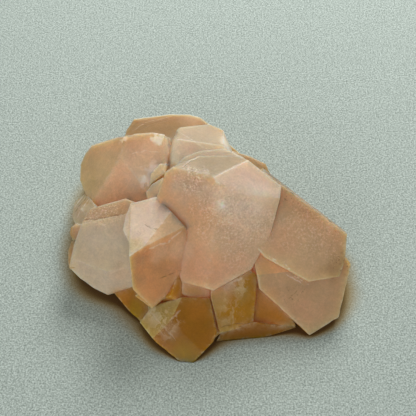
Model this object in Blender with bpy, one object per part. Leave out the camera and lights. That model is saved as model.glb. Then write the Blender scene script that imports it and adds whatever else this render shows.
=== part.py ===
"""Calcite cluster: stubby crystals grown together from one root, one solid.

Every crystal is a convex block behind its flat faces. The large ones are given
by their corners, the small ones all round by the habit that calcite grows in:
a six-sided prism closed by the three faces of a rhombohedron. All of them are
fused, and the root is cut off flat where the cluster rests.

Lengths are in millimetres until the last step, which turns them into metres.
+X is right, +Y is back and +Z is up.
"""

import math
from dataclasses import dataclass

import bmesh
import bpy
from mathutils import Matrix, Vector

MM = 0.001

# Driving dimensions, mm and degrees.
ROOT_TIP = (-4.0, 6.0, 23.0)   # top of the root, under the crystals that show
ROOT_WIDTH = 46.0              # across the flats of the root
ROOT_TWIST = 12.0
HEART = Vector((-3.0, 7.0, 6.0))   # point that the outer crystals grow away from
CAP_TILT = 44.6                # angle from the crystal's axis to a rhombohedron face
GROUND_Z = 0.0                 # height of the flat cut
BLOCK_SIZE = 400.0             # raw cube that each crystal is cut from
SNAP = 0.002                   # corners nearer than this are one corner
INWARD = 3.0                   # step from the mean corner to a point inside

BODY_COLOUR = (0.42, 0.25, 0.14, 1.0)
BODY_ROUGHNESS = 0.35


@dataclass(frozen=True)
class Crystal:
    """A crystal that is given by its corners.

    stem is the way that the crystal points, and its sides run along it. Each
    end face passes through three corners. Each side passes through two corners
    that follow each other round the outline. length is how far the crystal
    reaches back from its mean corner.
    """

    stem: tuple
    length: float
    corners: dict
    faces: tuple
    outline: tuple


@dataclass(frozen=True)
class Nailhead:
    """A small crystal of calcite's own habit, given by where its tip is.

    rise is the angle of its axis above level, and twist turns it on its axis.
    """

    tip: tuple
    rise: float
    width: float
    twist: float


CROWN = Crystal(
    stem=(-0.06, -0.50, 0.86),
    length=36.0,
    corners={
        "peak": (1.0, 6.0, 38.5),
        "back_left": (-8.0, 10.5, 37.0),
        "back_right": (11.0, 14.0, 36.5),
        "right": (21.0, 8.5, 31.0),
        "knee": (3.0, 3.0, 37.0),
        "below_right": (20.0, 5.0, 30.5),
        "right_side": (19.5, 1.0, 25.5),
        "right_foot": (12.0, -9.0, 15.5),
        "toe": (-0.5, -12.0, 18.0),
        "low": (1.0, -15.0, 13.5),
        "left_foot": (-8.0, -12.0, 13.5),
        "left": (-15.0, 7.0, 29.0),
        "left_top": (-12.5, 11.0, 35.0),
        "rear_left": (-3.0, 16.5, 35.5),
        "rear_right": (7.5, 16.5, 35.5),
    },
    faces=(
        ("peak", "back_right", "right"),
        ("knee", "below_right", "toe"),
        ("peak", "left", "toe"),
        ("back_left", "peak", "back_right"),
    ),
    outline=(
        "right", "below_right", "right_side", "right_foot", "low", "left_foot",
        "left", "left_top", "rear_left", "rear_right", "back_right",
    ),
)

TERRACE = Crystal(
    stem=(-0.08, -0.48, 0.88),
    length=20.0,
    corners={
        "left": (-9.5, 15.0, 33.0),
        "rear_left": (-7.5, 18.0, 33.0),
        "rear": (-3.0, 20.0, 33.5),
        "rear_right": (4.0, 20.5, 34.0),
        "right": (7.0, 19.0, 34.0),
        "tip": (10.0, 16.5, 34.5),
        "front_right": (8.5, 11.5, 34.5),
        "front_left": (-2.5, 12.0, 33.5),
    },
    faces=(("left", "rear_right", "tip"),),
    outline=(
        "left", "rear_left", "rear", "rear_right", "right", "tip",
        "front_right", "front_left",
    ),
)

BLADE = Crystal(
    stem=(0.10, -0.55, 0.83),
    length=24.0,
    corners={
        "top": (21.0, 10.0, 30.0),
        "corner": (39.0, 0.0, 21.0),
        "under_corner": (39.5, 1.0, 20.0),
        "right": (39.0, -6.5, 16.5),
        "low_right": (37.5, -10.5, 14.0),
        "low": (28.5, -12.0, 13.5),
        "step": (16.0, -7.0, 18.5),
        "left_low": (12.5, -4.0, 21.0),
        "left_top": (13.0, 6.0, 28.0),
        "rear": (15.5, 16.5, 30.0),
    },
    faces=(
        ("top", "corner", "step"),
        ("top", "corner", "rear"),
    ),
    outline=(
        "right", "low_right", "low", "step", "left_low", "left_top", "rear",
        "under_corner",
    ),
)

SPUR = Crystal(
    stem=(0.08, -0.61, 0.79),
    length=24.0,
    corners={
        "ear": (41.0, -6.0, 13.5),
        "right": (37.5, -18.0, 4.0),
        "tip": (29.0, -22.5, 1.5),
        "left": (14.5, -13.5, 12.0),
        "notch": (13.5, -10.5, 14.5),
        "crease": (22.0, -8.5, 14.5),
        "nick_left": (13.0, -7.0, 16.5),
        "nick_top": (15.0, -4.0, 18.0),
        "top": (38.0, -3.0, 16.5),
    },
    faces=(
        ("ear", "notch", "tip"),
        ("nick_left", "crease", "notch"),
    ),
    outline=("ear", "right", "tip", "left", "nick_left", "nick_top", "top"),
)

PROW = Crystal(
    stem=(-0.02, -0.60, 0.80),
    length=30.0,
    corners={
        "rear_left": (-23.0, 5.5, 27.0),
        "rear": (-15.0, 7.5, 28.0),
        "peak": (-11.0, 2.0, 28.0),
        "right": (-7.0, -2.0, 26.5),
        "right_side": (-6.5, -3.5, 24.0),
        "low_right": (-8.0, -10.5, 11.5),
        "tip": (-16.5, -18.5, 10.0),
        "low_left": (-22.0, -17.0, 17.5),
        "left": (-22.5, -8.0, 27.0),
        "front_left": (-21.0, -11.5, 27.0),
        "front": (-19.0, -10.5, 27.0),
    },
    faces=(
        ("rear_left", "peak", "front"),
        ("peak", "right", "front"),
        ("right", "front_left", "tip"),
    ),
    outline=(
        "rear_left", "rear", "peak", "right", "right_side", "low_right", "tip",
        "low_left", "left",
    ),
)

LIP = Crystal(
    stem=(-0.02, -0.60, 0.80),
    length=12.0,
    corners={
        "rear": (-22.5, 6.0, 27.0),
        "rear_left": (-24.0, 1.5, 26.5),
        "left": (-24.5, -3.5, 26.5),
        "front_left": (-22.5, -7.5, 26.0),
        "front": (-21.0, -10.5, 26.0),
        "inner": (-17.0, 0.0, 27.0),
    },
    faces=(("rear", "front", "rear_left"),),
    outline=("rear", "rear_left", "left", "front_left", "front", "inner"),
)

PROW_FOOT = Crystal(
    stem=(-0.02, -0.60, 0.80),
    length=10.0,
    corners={
        "left": (-21.0, -16.5, 13.0),
        "tip": (-16.5, -18.5, 9.5),
        "right": (-8.0, -11.0, 11.5),
        "right_top": (-7.5, -9.0, 15.5),
        "top": (-14.5, -13.5, 15.0),
    },
    faces=(("tip", "right_top", "top"),),
    outline=("left", "tip", "right", "right_top", "top"),
)

PANE = Crystal(
    stem=(-0.10, -0.58, 0.81),
    length=24.0,
    corners={
        "top_left": (-38.0, 4.0, 19.5),
        "top_right": (-25.5, 4.5, 23.5),
        "left": (-39.5, 0.0, 15.0),
        "crease_left": (-41.0, -3.0, 12.0),
        "crease": (-30.0, -7.0, 11.5),
        "crease_right": (-23.0, -7.0, 13.5),
        "left_low": (-41.0, -4.5, 9.5),
        "chin_left": (-38.0, -6.5, 7.0),
        "chin_low": (-34.0, -8.5, 5.0),
        "chin": (-30.0, -10.5, 4.5),
        "chin_right": (-23.5, -10.0, 7.5),
        "inner_low": (-19.0, -8.5, 9.0),
        "inner_top": (-20.0, 6.5, 25.5),
        "ledge_right": (-24.5, 9.5, 24.5),
        "ledge_left": (-35.0, 8.5, 21.0),
    },
    faces=(
        ("top_left", "top_right", "crease_right"),
        ("crease_left", "crease", "chin"),
        ("crease", "crease_right", "chin"),
        ("top_left", "top_right", "ledge_right"),
    ),
    outline=(
        "top_left", "left", "crease_left", "left_low", "chin_left", "chin_low",
        "chin", "chin_right", "inner_low", "inner_top", "ledge_right", "ledge_left",
    ),
)

RIM_UPPER = Crystal(
    stem=(-0.10, -0.58, 0.81),
    length=9.0,
    corners={
        "top": (-39.0, 5.0, 18.5),
        "left_top": (-40.5, 4.5, 17.5),
        "left": (-41.0, 3.0, 16.0),
        "low": (-40.0, 1.5, 15.0),
        "inner_low": (-38.0, 1.5, 15.5),
        "inner": (-37.0, 4.5, 18.5),
    },
    faces=(("top", "low", "inner"),),
    outline=("top", "left_top", "left", "low", "inner_low", "inner"),
)

RIM_LOWER = Crystal(
    stem=(-0.10, -0.58, 0.81),
    length=9.0,
    corners={
        "top": (-40.5, 1.5, 14.5),
        "left_top": (-41.5, -0.5, 12.5),
        "left_low": (-41.5, -3.0, 10.5),
        "low": (-41.0, -4.5, 9.0),
        "inner_low": (-38.0, -4.0, 10.0),
        "inner": (-38.0, 1.0, 15.0),
    },
    faces=(("top", "left_low", "inner"),),
    outline=("top", "left_top", "left_low", "low", "inner_low", "inner"),
)

CHIP = Crystal(
    stem=(-0.20, -0.50, 0.84),
    length=14.0,
    corners={
        "top": (-37.5, 20.0, 14.0),
        "left": (-41.0, 18.0, 12.0),
        "low_left": (-41.5, 14.0, 10.0),
        "low": (-39.5, 8.5, 12.0),
        "right": (-34.5, 7.0, 18.0),
        "top_right": (-34.0, 12.0, 18.0),
    },
    faces=(
        ("left", "right", "top"),
        ("left", "low", "right"),
    ),
    outline=("top", "left", "low_left", "low", "right", "top_right"),
)

HUMP = Crystal(
    stem=(-0.10, -0.50, 0.86),
    length=21.0,
    corners={
        "apex": (-26.5, 24.0, 26.5),
        "fork_left": (-35.5, 18.0, 16.0),
        "top_left": (-35.0, 33.5, 22.0),
        "upper_left": (-38.0, 32.0, 18.5),
        "left": (-39.5, 29.5, 16.0),
        "lower_left": (-39.5, 24.5, 14.5),
        "low_left": (-37.0, 18.5, 14.5),
        "low": (-35.0, 14.0, 14.0),
        "fork_right": (-20.0, 15.5, 22.5),
        "low_right": (-17.5, 12.0, 20.5),
        "right": (-13.5, 18.0, 25.0),
        "right_top": (-12.0, 23.0, 28.5),
        "rear_right": (-12.5, 28.0, 31.5),
        "rear": (-18.5, 29.5, 31.5),
        "top": (-25.0, 29.5, 30.0),
    },
    faces=(
        ("apex", "fork_left", "top_left"),
        ("apex", "low", "fork_right"),
        ("apex", "top", "right_top"),
    ),
    outline=(
        "top", "top_left", "upper_left", "left", "lower_left", "low_left", "low",
        "low_right", "right", "right_top", "rear_right", "rear",
    ),
)

CREST = Crystal(
    stem=(-0.05, 0.28, 0.96),
    length=18.0,
    corners={
        "left_rear": (-23.5, 44.0, 21.0),
        "rear": (-12.5, 45.0, 22.0),
        "rear_right": (-6.5, 44.0, 23.0),
        "right_rear": (-3.0, 42.0, 24.0),
        "right": (0.0, 37.5, 25.5),
        "front_right": (0.0, 27.0, 28.5),
        "front": (-11.5, 33.0, 25.5),
        "front_left": (-26.0, 32.0, 24.0),
        "left": (-25.5, 38.0, 22.5),
    },
    faces=(("left_rear", "rear_right", "front"),),
    outline=(
        "left", "left_rear", "rear", "rear_right", "right_rear", "right",
        "front_right", "front_left",
    ),
)

CREAM = Crystal(
    stem=(0.05, -0.20, 0.98),
    length=30.0,
    corners={
        "fold_left": (-7.5, 26.5, 31.0),
        "fold_right": (4.5, 26.5, 28.5),
        "rear_right": (4.0, 34.5, 26.5),
        "rear": (0.0, 36.5, 27.0),
        "rear_left": (-9.0, 32.5, 30.0),
        "left": (-11.0, 28.0, 31.5),
        "front_left": (-11.5, 18.5, 29.0),
        "front": (-3.5, 23.5, 29.0),
        "front_right": (1.5, 19.0, 26.0),
        "low_right": (7.5, 27.0, 21.5),
        "right": (7.0, 29.5, 22.0),
    },
    faces=(
        ("fold_left", "fold_right", "rear_right"),
        ("fold_left", "fold_right", "front"),
        ("fold_right", "rear_right", "right"),
    ),
    outline=(
        "left", "rear_left", "rear", "rear_right", "right", "low_right",
        "front_right", "front_left",
    ),
)

TONGUE = Crystal(
    stem=(0.0, -0.60, 0.80),
    length=14.0,
    corners={
        "left": (-8.0, -11.5, 13.5),
        "right": (0.5, -12.0, 12.5),
        "low_right": (0.0, -15.5, 9.5),
        "low": (-5.0, -15.5, 9.5),
        "low_left": (-8.0, -14.5, 11.0),
        "top_left": (-7.5, -9.0, 15.5),
        "top_right": (0.5, -9.5, 14.5),
    },
    faces=(("left", "right", "low_right"),),
    outline=("right", "low_right", "low", "low_left", "top_left", "top_right"),
)

HONEY = Crystal(
    stem=(0.04, -0.62, 0.78),
    length=24.0,
    corners={
        "left": (0.5, -13.5, 12.5),
        "left_side": (0.5, -16.0, 10.5),
        "low_left": (3.0, -23.0, 3.5),
        "low_right": (12.5, -20.5, 4.0),
        "right_side": (13.5, -11.5, 11.0),
        "right": (13.5, -9.5, 13.0),
        "top": (10.5, -8.0, 15.0),
    },
    faces=(("left", "right", "low_right"),),
    outline=("left", "left_side", "low_left", "low_right", "right_side", "right", "top"),
)

AMBER = Crystal(
    stem=(0.06, -0.61, 0.79),
    length=20.0,
    corners={
        "top_left": (13.5, -10.0, 9.5),
        "left": (10.5, -14.0, 7.0),
        "low_left": (12.5, -20.5, 2.5),
        "low_right": (25.0, -20.5, 3.0),
        "top_right": (19.0, -10.5, 9.5),
    },
    faces=(("top_left", "low_right", "low_left"),),
    outline=("top_left", "left", "low_left", "low_right", "top_right"),
)

SILL = Crystal(
    stem=(0.0, -0.50, 0.86),
    length=14.0,
    corners={
        "low_left": (2.0, -24.0, 0.0),
        "low_right": (15.5, -22.5, 0.0),
        "right": (25.0, -20.5, 2.5),
        "top": (12.5, -20.5, 5.0),
        "left": (3.5, -22.5, 3.0),
    },
    faces=(("low_left", "low_right", "left"),),
    outline=("low_left", "low_right", "right", "top", "left"),
)

WEDGE = Crystal(
    stem=(-0.04, -0.61, 0.79),
    length=24.0,
    corners={
        "top": (-8.0, -16.0, 11.0),
        "top_right": (0.0, -16.0, 10.5),
        "right": (2.0, -24.0, 5.0),
        "low_right": (1.0, -26.0, 3.5),
        "tip": (-5.5, -31.5, -0.5),
        "front": (-5.0, -30.5, 1.0),
        "low": (-8.0, -31.0, 0.0),
        "low_left": (-15.5, -26.0, 3.5),
        "left": (-20.0, -20.5, 5.0),
        "top_left": (-16.5, -17.0, 8.0),
        "elbow": (-11.0, -21.5, 7.5),
    },
    faces=(
        ("top", "top_right", "front"),
        ("top", "elbow", "left"),
        ("elbow", "tip", "low_left"),
    ),
    outline=(
        "top", "top_right", "right", "low_right", "tip", "low", "low_left", "left",
        "top_left",
    ),
)

GUSSET = Crystal(
    stem=(-0.04, -0.60, 0.79),
    length=16.0,
    corners={
        "top_left": (-18.0, -14.0, 6.0),
        "low_left": (-17.5, -18.0, 4.5),
        "low_right": (-7.5, -15.0, 7.0),
        "right": (-7.5, -9.5, 9.5),
        "top": (-14.5, -11.0, 8.0),
    },
    faces=(("top_left", "right", "low_right"),),
    outline=("top_left", "low_left", "low_right", "right", "top"),
)

KEEL = Crystal(
    stem=(0.0, -0.61, 0.79),
    length=16.0,
    corners={
        "top_left": (-6.0, -13.0, 11.0),
        "low_left": (-4.0, -24.0, 3.0),
        "low": (1.0, -24.5, 2.5),
        "low_right": (4.0, -22.5, 3.5),
        "top_right": (4.0, -13.0, 11.0),
    },
    faces=(("top_left", "low", "top_right"),),
    outline=("top_left", "low_left", "low", "low_right", "top_right"),
)

BRIDGE = Crystal(
    stem=(0.0, -0.60, 0.80),
    length=12.0,
    corners={
        "left": (10.0, -9.0, 12.5),
        "low": (13.0, -11.0, 11.0),
        "right": (17.0, -9.5, 12.0),
        "right_top": (17.0, -6.0, 14.5),
        "top": (14.0, -4.0, 16.5),
        "left_top": (10.0, -5.0, 15.5),
    },
    faces=(("left", "right", "top"),),
    outline=("left", "low", "right", "right_top", "top", "left_top"),
)

SADDLE = Crystal(
    stem=(-0.05, -0.45, 0.89),
    length=18.0,
    corners={
        "rear_left": (-14.0, 27.0, 27.5),
        "rear_right": (-10.0, 27.0, 29.5),
        "right": (-10.0, 12.0, 24.5),
        "low": (-16.0, 8.0, 20.0),
        "left": (-20.0, 13.0, 20.0),
        "left_top": (-17.0, 20.0, 23.5),
    },
    faces=(("rear_left", "right", "left"),),
    outline=("rear_left", "rear_right", "right", "low", "left", "left_top"),
)

HEEL = Crystal(
    stem=(0.10, -0.20, 0.97),
    length=24.0,
    corners={
        "rear_left": (7.0, 29.5, 22.5),
        "rear": (12.5, 28.5, 22.5),
        "rear_right": (17.0, 27.0, 19.5),
        "right": (18.5, 22.0, 19.0),
        "front": (9.0, 21.0, 24.0),
    },
    faces=(("rear_left", "rear_right", "front"),),
    outline=("rear_left", "rear", "rear_right", "right", "front"),
)

STUMP = Crystal(
    stem=(-0.10, -0.61, 0.79),
    length=22.0,
    corners={
        "top_left": (-29.0, -9.5, 3.5),
        "top": (-16.5, -14.0, 7.0),
        "low": (-20.5, -18.0, 0.5),
        "low_left": (-24.0, -14.0, 2.0),
        "right": (-13.0, -19.0, 4.0),
        "rear_right": (-14.5, -12.5, 10.0),
        "rear_left": (-26.5, -5.5, 10.0),
    },
    faces=(("top_left", "top", "low"),),
    outline=("top_left", "low_left", "low", "right", "rear_right", "rear_left"),
)

SPLINTER = Crystal(
    stem=(0.0, -0.50, 0.86),
    length=12.0,
    corners={
        "left": (-18.0, 9.5, 24.0),
        "right": (-14.5, 8.5, 25.0),
        "right_top": (-13.5, 14.5, 28.0),
        "top": (-16.5, 13.5, 26.5),
        "left_top": (-18.5, 12.0, 25.0),
    },
    faces=(("left", "top", "right"),),
    outline=("left", "right", "right_top", "top", "left_top"),
)

SLIVER = Crystal(
    stem=(0.0, -0.50, 0.86),
    length=12.0,
    corners={
        "left_top": (-17.0, 17.0, 27.5),
        "left": (-17.5, 14.0, 26.0),
        "low": (-14.5, 16.0, 27.0),
        "right": (-13.0, 17.0, 27.5),
        "right_top": (-12.0, 20.0, 28.5),
        "top": (-14.5, 19.5, 28.5),
    },
    faces=(("left_top", "top", "low"),),
    outline=("left_top", "left", "low", "right", "right_top", "top"),
)

CORNERED = (
    CROWN, TERRACE, BLADE, SPUR, PROW, LIP, PROW_FOOT, PANE, RIM_UPPER, RIM_LOWER,
    CHIP, HUMP, CREST, CREAM, TONGUE, HONEY, AMBER, SILL, WEDGE, GUSSET, KEEL,
    BRIDGE, SADDLE, HEEL, STUMP, SPLINTER, SLIVER,
)

# Small crystals round the back, the ends and under the overhangs.
NAILHEADS = (
    Nailhead(tip=(-33.0, 38.5, 7.0), rise=12.0, width=15.0, twist=10.0),
    Nailhead(tip=(-28.0, 40.5, 14.5), rise=24.0, width=12.0, twist=40.0),
    Nailhead(tip=(-25.0, 43.0, 6.0), rise=8.0, width=14.0, twist=35.0),
    Nailhead(tip=(-19.0, 45.5, 13.0), rise=20.0, width=15.0, twist=20.0),
    Nailhead(tip=(-12.0, 47.0, 6.0), rise=10.0, width=17.0, twist=5.0),
    Nailhead(tip=(-5.0, 45.0, 14.5), rise=26.0, width=12.0, twist=50.0),
    Nailhead(tip=(2.0, 42.0, 8.0), rise=14.0, width=14.0, twist=30.0),
    Nailhead(tip=(6.0, 38.0, 16.0), rise=30.0, width=12.0, twist=10.0),
    Nailhead(tip=(11.0, 36.5, 9.0), rise=18.0, width=13.0, twist=22.0),
    Nailhead(tip=(18.0, 30.0, 7.0), rise=12.0, width=15.0, twist=40.0),
    Nailhead(tip=(20.0, 24.0, 15.0), rise=28.0, width=13.0, twist=0.0),
    Nailhead(tip=(26.0, 22.0, 8.0), rise=12.0, width=13.0, twist=15.0),
    Nailhead(tip=(28.0, 16.0, 15.0), rise=24.0, width=12.0, twist=35.0),
    Nailhead(tip=(34.0, 13.0, 7.0), rise=10.0, width=15.0, twist=55.0),
    Nailhead(tip=(36.0, 6.0, 13.0), rise=18.0, width=13.0, twist=25.0),
    Nailhead(tip=(38.0, 0.0, 5.0), rise=6.0, width=14.0, twist=10.0),
    Nailhead(tip=(30.0, -9.0, 3.0), rise=6.0, width=14.0, twist=5.0),
    Nailhead(tip=(-40.5, 22.0, 6.0), rise=10.0, width=14.0, twist=45.0),
    Nailhead(tip=(-41.0, 12.5, 4.5), rise=8.0, width=12.0, twist=15.0),
    Nailhead(tip=(-37.0, 5.0, 6.0), rise=8.0, width=14.0, twist=20.0),
    Nailhead(tip=(-29.0, -4.0, 2.0), rise=4.0, width=13.0, twist=0.0),
    Nailhead(tip=(8.0, -19.0, 1.0), rise=4.0, width=16.0, twist=30.0),
)


def outward(normal, point, inner):
    """Return the normal turned away from a point inside the block."""
    normal = normal.normalized()
    if normal.dot(inner - point) > 0.0:
        return -normal
    return normal


def cornered_planes(crystal):
    """Return a point inside a cornered crystal and its faces' (point, normal)."""
    corners = {name: Vector(place) for name, place in crystal.corners.items()}
    stem = Vector(crystal.stem).normalized()
    mean = sum(corners.values(), Vector()) / len(corners)
    inner = mean - stem * INWARD
    planes = []
    for first, second, third in crystal.faces:
        point = corners[first]
        normal = (corners[second] - point).cross(corners[third] - point)
        planes.append((point, outward(normal, point, inner)))
    following = crystal.outline[1:] + crystal.outline[:1]
    for first, second in zip(crystal.outline, following):
        point = corners[first]
        normal = (corners[second] - point).cross(stem)
        planes.append((point, outward(normal, point, inner)))
    planes.append((mean - stem * crystal.length, -stem))
    return inner, planes


def prism_planes(tip, axis, width, twist, length):
    """Return a point inside a capped prism and its faces' (point, normal)."""
    turn = axis.to_track_quat("Z", "Y")
    planes = []
    for corner in range(6):
        angle = math.radians(60.0 * corner + twist)
        side = turn @ Vector((math.cos(angle), math.sin(angle), 0.0))
        planes.append((tip + side * width / 2.0, side))
        if corner % 2 == 0:
            slope = math.radians(CAP_TILT)
            cap = side * math.sin(slope) + axis * math.cos(slope)
            planes.append((tip, cap))
    planes.append((tip - axis * length, -axis))
    return tip - axis * length / 2.0, planes


def nailhead_planes(crystal):
    """Return a point inside a nailhead crystal and its faces."""
    tip = Vector(crystal.tip)
    level = (tip - HEART).to_2d().normalized()
    rise = math.radians(crystal.rise)
    axis = Vector((level.x * math.cos(rise), level.y * math.cos(rise), math.sin(rise)))
    length = (tip - HEART).length
    return prism_planes(tip, axis, crystal.width, crystal.twist, length)


def root_planes():
    """Return a point inside the root that carries the crystals and its faces."""
    tip = Vector(ROOT_TIP)
    return prism_planes(tip, Vector((0.0, 0.0, 1.0)), ROOT_WIDTH, ROOT_TWIST, 2.0 * tip.z)


def convex_block(name, inner, planes):
    """Return an object: a raw cube cut down to what lies behind every plane."""
    bm = bmesh.new()
    bmesh.ops.create_cube(bm, size=BLOCK_SIZE, matrix=Matrix.Translation(inner))
    for point, normal in planes:
        everything = bm.verts[:] + bm.edges[:] + bm.faces[:]
        bmesh.ops.bisect_plane(
            bm, geom=everything, dist=SNAP, plane_co=point, plane_no=normal,
            clear_outer=True,
        )
        rim = [edge for edge in bm.edges if edge.is_boundary]
        if rim:
            bmesh.ops.edgeloop_fill(bm, edges=rim)
    bmesh.ops.remove_doubles(bm, verts=bm.verts, dist=SNAP)
    bmesh.ops.recalc_face_normals(bm, faces=bm.faces)
    mesh = bpy.data.meshes.new(name)
    bm.to_mesh(mesh)
    bm.free()
    block = bpy.data.objects.new(name, mesh)
    bpy.context.scene.collection.objects.link(block)
    return block


def combine(target, tool, operation):
    """Join a block to the target, or cut it from the target, and remove it."""
    modifier = target.modifiers.new("combine", "BOOLEAN")
    modifier.operation = operation
    modifier.solver = "EXACT"
    modifier.object = tool
    depsgraph = bpy.context.evaluated_depsgraph_get()
    mesh = bpy.data.meshes.new_from_object(target.evaluated_get(depsgraph))
    target.modifiers.remove(modifier)
    target.data = mesh
    bpy.data.objects.remove(tool)


def connected_part(start):
    """Return every vertex that is joined to the start by edges."""
    found = {start}
    waiting = [start]
    while waiting:
        vertex = waiting.pop()
        for edge in vertex.link_edges:
            neighbour = edge.other_vert(vertex)
            if neighbour not in found:
                found.add(neighbour)
                waiting.append(neighbour)
    return found


def fill_pockets(target):
    """Remove the walls of pockets that the fused crystals have sealed inside."""
    bm = bmesh.new()
    bm.from_mesh(target.data)
    highest = max(bm.verts, key=lambda vertex: vertex.co.z)
    outside = connected_part(highest)
    pockets = [vertex for vertex in bm.verts if vertex not in outside]
    bmesh.ops.delete(bm, geom=pockets, context="VERTS")
    bm.to_mesh(target.data)
    bm.free()


def cut_flat(target):
    """Cut off everything that lies below the level that the cluster rests on."""
    below = Vector((0.0, 0.0, GROUND_Z - BLOCK_SIZE / 2.0))
    combine(target, convex_block("ground", below, ()), "DIFFERENCE")


def stand_on_origin(target):
    """Put the middle of the solid's footprint at the origin, in metres."""
    places = [vertex.co for vertex in target.data.vertices]
    low = Vector(min(place[axis] for place in places) for axis in range(3))
    high = Vector(max(place[axis] for place in places) for axis in range(3))
    foot = Vector(((low.x + high.x) / 2.0, (low.y + high.y) / 2.0, low.z))
    target.data.transform(Matrix.Scale(MM, 4) @ Matrix.Translation(-foot))


def calcite_material():
    """Return the material of the cluster: pale brown-pink calcite."""
    material = bpy.data.materials.new("calcite")
    material.use_nodes = True
    shader = material.node_tree.nodes["Principled BSDF"]
    shader.inputs["Base Color"].default_value = BODY_COLOUR
    shader.inputs["Roughness"].default_value = BODY_ROUGHNESS
    shader.inputs["Metallic"].default_value = 0.0
    material.diffuse_color = BODY_COLOUR
    return material


def build_cluster():
    """Build the whole specimen as one solid."""
    cluster = convex_block("calcite_cluster", *root_planes())
    for crystal in CORNERED:
        combine(cluster, convex_block("crystal", *cornered_planes(crystal)), "UNION")
    for crystal in NAILHEADS:
        combine(cluster, convex_block("crystal", *nailhead_planes(crystal)), "UNION")
    cut_flat(cluster)
    fill_pockets(cluster)
    stand_on_origin(cluster)
    cluster.data.materials.clear()
    cluster.data.materials.append(calcite_material())
    return cluster


def main():
    """Clear the scene and build the cluster."""
    for item in list(bpy.data.objects):
        bpy.data.objects.remove(item)
    build_cluster()


main()
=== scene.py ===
"""The looks of a calcite cluster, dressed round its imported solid.

The cluster stays one stone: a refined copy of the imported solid, with worn and
chipped edges, cracks, growth lines and the slight waves of real crystal faces,
in a milky, translucent calcite whose tint changes from crystal to crystal.

Lengths are in metres unless a comment says millimetres. +X is right, +Y is
back and +Z is up.
"""

import logging
import math
from dataclasses import dataclass, field
from enum import Enum

import bmesh
import bpy
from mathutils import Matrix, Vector, kdtree, noise
from mathutils.bvhtree import BVHTree
from mathutils.geometry import intersect_point_line


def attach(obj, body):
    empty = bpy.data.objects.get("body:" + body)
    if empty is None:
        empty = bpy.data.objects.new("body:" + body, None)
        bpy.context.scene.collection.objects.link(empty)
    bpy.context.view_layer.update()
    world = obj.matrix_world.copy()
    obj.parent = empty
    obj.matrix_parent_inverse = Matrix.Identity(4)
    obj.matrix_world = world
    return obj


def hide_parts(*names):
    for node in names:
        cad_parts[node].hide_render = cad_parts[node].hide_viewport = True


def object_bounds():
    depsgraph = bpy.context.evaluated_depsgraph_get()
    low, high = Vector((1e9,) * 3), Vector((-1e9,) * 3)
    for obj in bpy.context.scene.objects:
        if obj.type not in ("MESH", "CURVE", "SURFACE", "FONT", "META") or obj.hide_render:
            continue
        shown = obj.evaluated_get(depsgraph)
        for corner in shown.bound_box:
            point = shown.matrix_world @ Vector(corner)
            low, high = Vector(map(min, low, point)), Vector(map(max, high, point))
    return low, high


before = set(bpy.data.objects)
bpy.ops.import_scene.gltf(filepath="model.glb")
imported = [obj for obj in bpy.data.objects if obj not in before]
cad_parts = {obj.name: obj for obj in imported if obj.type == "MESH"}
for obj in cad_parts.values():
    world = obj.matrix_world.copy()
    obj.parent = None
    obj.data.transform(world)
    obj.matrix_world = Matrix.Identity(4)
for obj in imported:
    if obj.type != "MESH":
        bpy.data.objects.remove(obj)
CAD_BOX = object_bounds()

MM = 0.001
NODE = "calcite_cluster"
BODY = "root"

Place = tuple[float, float, float]
Sockets = dict[str, bpy.types.NodeSocket]
Vert = bmesh.types.BMVert

log = logging.getLogger("calcite")


def linear(colour: str) -> tuple[float, float, float, float]:
    """Turn an sRGB hex colour into linear red, green, blue and alpha.

    Args:
        colour: Six hex digits after a #.

    Returns:
        The linear colour, with an alpha of 1.
    """
    parts = (int(colour[i:i + 2], 16) / 255.0 for i in (1, 3, 5))
    red, green, blue = (
        part / 12.92 if part <= 0.04045 else ((part + 0.055) / 1.055) ** 2.4
        for part in parts
    )
    return red, green, blue, 1.0


def add_node(tree: bpy.types.NodeTree, kind: str,
             inputs: dict[str | int, object] | None = None,
             **settings: object) -> bpy.types.Node:
    """Add a node to a tree, set it up and link it.

    Args:
        tree: The node tree that gets the node.
        kind: Blender's name of the node's type.
        inputs: For each input, by name or number, a value or a socket to link.
        settings: The node's own properties.

    Returns:
        The new node.
    """
    made = tree.nodes.new(kind)
    for name, value in settings.items():
        setattr(made, name, value)
    for key, value in (inputs or {}).items():
        if isinstance(value, bpy.types.NodeSocket):
            tree.links.new(value, made.inputs[key])
        else:
            made.inputs[key].default_value = value
    return made


def fade(value: float, low: float, high: float) -> float:
    """Rise smoothly from 0 at low to 1 at high."""
    part = min(1.0, max(0.0, (value - low) / (high - low)))
    return part * part * (3.0 - 2.0 * part)


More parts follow.
